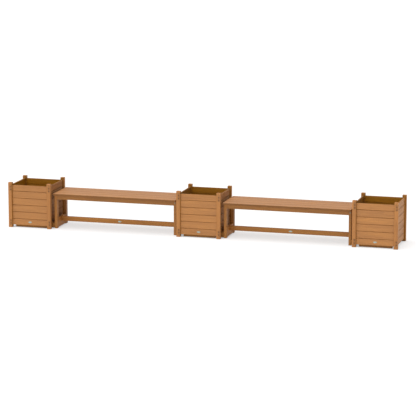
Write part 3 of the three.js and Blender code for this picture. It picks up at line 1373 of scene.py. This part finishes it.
@dataclass(frozen=True)
class Bench(Unit):
    """One bench: a seat of planks on a frame of legs, aprons, low rails, a stretcher and a batten.

    The fields named paler say how much the tone of single boards differs from what is drawn for them. The
    fields named painted_light raise the tone of single boards as painted light: the stretcher and the front
    left leg for the stronger light on them, and the left low rail for the light that the floor throws back
    onto it.
    """

    plank_count: int = 4
    plank_ease: float = 1.6 * MILLIMETRE
    plank_steps: int = 5
    nose_radius: float = 4.0 * MILLIMETRE
    frame_ease: float = 1.6 * MILLIMETRE
    shoulder_gap: float = 0.2 * MILLIMETRE
    rail_thickness: float = 22.0 * MILLIMETRE
    packing_height: float = 55.0 * MILLIMETRE
    fit_gap: float = 0.3 * MILLIMETRE
    bolt_drop: float = 22.0 * MILLIMETRE
    apron_paler: float = -0.3
    # Painted light: the stretcher's tone is raised for the light that reaches it under the seat.
    stretcher_paler: float = 1.45
    # Painted light: the front left leg's tone is raised for the stronger light on it.
    left_leg_paler: float = 0.65
    # Painted light: the left low rail's tone is raised for the light that the floor throws back onto it.
    left_rail_paler: float = 1.5
    plank_paler: tuple[float, ...] = (0.4, 0.3, 0.1, -0.9)

    def build(self) -> None:
        """Builds and dresses the whole bench."""
        for index in range(self.plank_count):
            self.build_plank(index)
        self.build_legs()
        self.build_rails()
        stretcher = self.box("stretcher")
        self.place_plate(Vector((stretcher.centre.x, stretcher.low.y, stretcher.centre.z)))

    def build_bar(self, part: str, box: Box, across: Vector, depth: Vector, paler: float = 0.0) -> None:
        """Builds one straight bar of the frame.

        Args:
            part: The name of the node that it replaces, after the bench's.
            box: The space that it fills.
            across: The way of its width.
            depth: The way of its thickness.
            paler: How much paler it is than its drawn tone.
        """
        bar = TimberPiece()
        bar.add_bar(Board.filling(box, across, depth, f"{self.name}_{part}", paler), self.frame_ease)
        self.place_timber(bar, part, Slot.FRAME)

    def build_plank(self, index: int) -> None:
        """Builds one plank of the seat, rounded over where it is the seat's edge.

        Args:
            index: The plank's number, from the front.
        """
        part = f"seat_plank_{index + 1}"
        ease = self.plank_ease
        front = self.nose_radius if index == 0 else ease
        rear = self.nose_radius if index == self.plank_count - 1 else ease
        board = Board.filling(self.box(part), TO_REAR, UPWARD, f"{self.name}_{part}", self.plank_paler[index])
        plank = TimberPiece()
        plank.add(board, Outline.bar(board, (ease, ease, rear, front), self.plank_steps), ease)
        self.place_timber(plank, part, Slot.SEAT)

    def build_legs(self) -> None:
        """Builds the four legs, and the bolts through the tops of two of them, at opposite corners."""
        bolts = TurnedPiece()
        for face, bolted in ((Side.FRONT, Side.RIGHT), (Side.REAR, Side.LEFT)):
            for end in (Side.LEFT, Side.RIGHT):
                part = f"leg_{face.label}_{end.label}"
                box = self.box(part)
                # The front left leg's paler tone is painted light.
                paler = self.left_leg_paler if (face, end) == (Side.FRONT, Side.LEFT) else 0.0
                self.build_bar(part, box, ALONG_ROW, TO_REAR, paler)
                if end == bolted:
                    spot = box.centre + face.outward * box.size.y / 2
                    spot.z = box.high.z - self.bolt_drop
                    DomeBolt().put(bolts, spot, face.outward)
        self.place_metal(bolts, "bolts", Slot.FASTENER)

    def build_rails(self) -> None:
        """Builds the aprons, the low end rails, the stretcher and the batten, each up to its shoulders."""
        gap = self.shoulder_gap
        left_leg = self.box("leg_front_left")
        right_leg = self.box("leg_front_right")
        rear_leg = self.box("leg_rear_left")
        for part in ("front_apron", "rear_apron"):
            box = self.box(part).cut(Axis.X, left_leg.high.x + gap, right_leg.low.x - gap)
            self.build_bar(part, box, UPWARD, TO_REAR, self.apron_paler)
        for end in (Side.LEFT, Side.RIGHT):
            part = f"end_apron_{end.label}"
            box = self.box(part).cut(Axis.Y, left_leg.high.y + gap, rear_leg.low.y - gap)
            self.build_bar(part, box, UPWARD, ALONG_ROW)
            self.build_end_rail(end)
        left_rail = self.box("end_rail_left")
        right_rail = self.box("end_rail_right")
        stretcher = self.box("stretcher").cut(Axis.X, left_rail.high.x + gap, right_rail.low.x - gap)
        # The stretcher's paler tone is painted light.
        self.build_bar("stretcher", stretcher, UPWARD, TO_REAR, self.stretcher_paler)
        self.build_bar("seat_batten", self.box("seat_batten"), ALONG_ROW, UPWARD)

    def build_end_rail(self, end: Side) -> None:
        """Builds the low rail of one end, the packing board outside it and the strip between the two.

        Args:
            end: The end of the bench, left or right.
        """
        part = f"end_rail_{end.label}"
        node = f"{self.name}_{part}"
        whole = self.box(part)
        front_leg = self.box(f"leg_front_{end.label}")
        rear_leg = self.box(f"leg_rear_{end.label}")
        outward = end.outward.x
        gap = self.shoulder_gap
        inner, outer, leg_face = whole.high.x, whole.low.x, front_leg.low.x
        if end is Side.RIGHT:
            inner, outer, leg_face = whole.low.x, whole.high.x, front_leg.high.x
        rail_face = inner + outward * self.rail_thickness
        packing_face = leg_face + outward * self.fit_gap
        between = whole.cut(Axis.Y, front_leg.high.y + gap, rear_leg.low.y - gap)
        packing = whole.cut(Axis.Z, whole.low.z, whole.low.z + self.packing_height)
        strip = between.cut(Axis.Z, packing.low.z, packing.high.z)
        rail = TimberPiece()
        for name, box in (
            (node, between.cut(Axis.X, inner, rail_face)),
            (f"{node}_strip", strip.cut(Axis.X, rail_face + outward * gap, packing_face - outward * gap)),
            (f"{node}_packing", packing.cut(Axis.X, packing_face, outer)),
        ):
            # The left low rail's paler tone is painted light.
            paler = self.left_rail_paler if end is Side.LEFT and name == node else 0.0
            board = Board.filling(box, UPWARD, ALONG_ROW, name, paler)
            rail.add_bar(board, min(self.frame_ease, board.half.z / 2))
        self.place_timber(rail, part, Slot.FRAME)


@dataclass(frozen=True)
class Viewpoint:
    """Where the photograph was taken from.

    Angles are in degrees, places in metres, and the lens and its sensor in millimetres.
    """

    azimuth: float = 15.9983
    elevation: float = 11.0024
    distance: float = 24.2889
    aim: tuple[float, float, float] = (-0.0412, 0.2941, 0.2437)
    lens: float = 180.544
    sensor: float = 36.0
    sight: float = 400.0

    def build(self) -> None:
        """Sets up the camera."""
        back = direction(self.azimuth, self.elevation)
        data = bpy.data.cameras.new("camera")
        data.lens = self.lens
        data.sensor_width = self.sensor
        data.clip_end = self.sight
        camera = in_scene("camera", data)
        camera.location = Vector(self.aim) + back * self.distance
        camera.rotation_euler = (-back).to_track_quat("-Z", "Y").to_euler()
        bpy.context.scene.camera = camera


@dataclass(frozen=True)
class Lamp:
    """A large soft lamp, far off. Its level is what it adds to a pale face that it meets squarely."""

    name: str
    level: float
    azimuth: float
    elevation: float
    spread: float

    def build(self) -> None:
        """Hangs the lamp."""
        data = bpy.data.lights.new(self.name, "SUN")
        data.energy = self.level * math.pi
        data.angle = math.radians(self.spread)
        lamp = in_scene(self.name, data)
        lamp.rotation_euler = direction(self.azimuth, self.elevation).to_track_quat("Z", "Y").to_euler()


@dataclass(frozen=True)
class Studio:
    """A pale floor under an even white dome, with one soft lamp above and one low in front.

    The floor is shown by a glow of its own, which is weaker where the row stands close over it, as a painted
    contact shadow.
    """

    floor_reach: float = 150.0
    floor_level: float = 0.86
    shown_level: float = 0.42
    shown_lift: float = 0.61
    contact_reach: float = 0.06
    contact_lift: float = 0.32
    contact_open: Range = (0.15, 0.75)
    contact_samples: int = 8
    dome_level: float = 0.48
    lamps: tuple[Lamp, ...] = (
        Lamp("lamp_above", 0.72, -60.0, 78.0, 50.0),
        Lamp("lamp_in_front", 0.24, -8.0, 7.0, 40.0),
    )

    def build(self) -> None:
        """Builds the floor, the dome and the lamps."""
        self.build_floor()
        self.build_dome()
        for lamp in self.lamps:
            lamp.build()
        bpy.context.scene.view_settings.view_transform = "Standard"

    @staticmethod
    def _shown_or_lit(graph: NodeGraph, lit: bpy.types.Node, shown: bpy.types.Node) -> bpy.types.NodeSocket:
        """Shows one shader to the camera, in gloss and through glass, and gives light by the other.

        Args:
            graph: Where the nodes go.
            lit: The shader that light meets.
            shown: The shader that is looked at.

        Returns:
            The shader of the two.
        """
        rays = graph.add("LightPath").outputs
        sharp = graph.math("MAXIMUM", rays["Is Camera Ray"], rays["Is Glossy Ray"])
        seen = graph.math("MAXIMUM", sharp, rays["Is Transmission Ray"])
        return graph.add("MixShader", {0: seen, 1: lit.outputs[0], 2: shown.outputs[0]}).outputs[0]

    def build_floor(self) -> None:
        """Builds the floor, which is looked at as plain white wherever no shadow lies."""
        mesh = bmesh.new()
        bmesh.ops.create_grid(mesh, x_segments=1, y_segments=1, size=self.floor_reach)
        floor = mesh_in_scene("studio_floor", mesh)
        material = bpy.data.materials.new("studio_floor")
        material.use_nodes = True
        graph = NodeGraph(material.node_tree)
        # Painted contact shadow: the floor's glow drops where the row stands close over it.
        contact = {"Distance": self.contact_reach}
        sky = graph.add("AmbientOcclusion", contact, samples=self.contact_samples).outputs["AO"]
        lift = graph.ranged(sky, self.contact_open, (self.contact_lift, self.shown_lift))
        lit = graph.add("BsdfDiffuse", {"Color": (*[self.floor_level] * 3, 1.0)})
        shown = graph.add("BsdfPrincipled", {
            "Base Color": (*[self.shown_level] * 3, 1.0),
            "Roughness": 1.0,
            "Specular IOR Level": 0.0,
            "Emission Color": WHITE,
            "Emission Strength": lift,
        })
        graph.add("OutputMaterial", {"Surface": self._shown_or_lit(graph, lit, shown)})
        floor.data.materials.append(material)

    def build_dome(self) -> None:
        """Builds the world: plain white to look at, and dimmer as light."""
        world = bpy.data.worlds.new("studio_dome")
        world.use_nodes = True
        graph = NodeGraph(world.node_tree)
        lit = graph.add("Background", {"Color": WHITE, "Strength": self.dome_level})
        shown = graph.add("Background", {"Color": WHITE, "Strength": 1.0})
        graph.add("OutputWorld", {"Surface": self._shown_or_lit(graph, lit, shown)})
        bpy.context.scene.world = world


PLANTERS: dict[str, tuple[Side, ...]] = {
    "left": (Side.RIGHT,),
    "middle": (Side.LEFT, Side.RIGHT),
    "right": (Side.LEFT,),
}


def main() -> None:
    """Builds the studio, the planters and the benches, in this order."""
    logging.basicConfig(level=logging.INFO, format="%(message)s")
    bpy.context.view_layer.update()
    Viewpoint().build()
    Studio().build()
    finishes = Finishes()
    for place, bench_sides in PLANTERS.items():
        Planter(f"planter_{place}", finishes, bench_sides).build()
    for place in ("left", "right"):
        Bench(f"bench_{place}", finishes).build()


if __name__ == "__main__":
    main()
